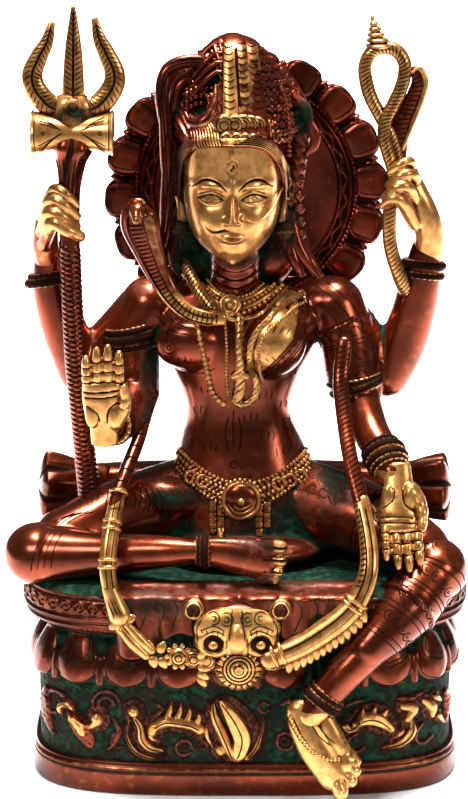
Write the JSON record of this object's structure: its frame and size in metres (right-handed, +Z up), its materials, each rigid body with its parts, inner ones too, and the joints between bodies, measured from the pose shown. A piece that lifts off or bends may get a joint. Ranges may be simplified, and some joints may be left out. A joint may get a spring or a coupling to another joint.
{
  "type": "seated deity statue",
  "caption": "Seated four-armed composite deity in cast brass on a lotus plinth, with halo, trident, noose and garland, standing on a flat underside.",
  "frame": {"origin": "centre of the plinth's flat underside", "axes": "+Z up, the figure looks along -Y, its right hand with the trident is at -X"},
  "size_m": [0.1841, 0.1257, 0.3062],
  "materials": {
    "red_brown_brass": "red-brown lacquered cast brass, polished golden on the raised ornament, green-black patina in the recesses"
  },
  "bodies": {
    "root": {"shiva_statue": "red_brown_brass"}
  },
  "joints": []
}
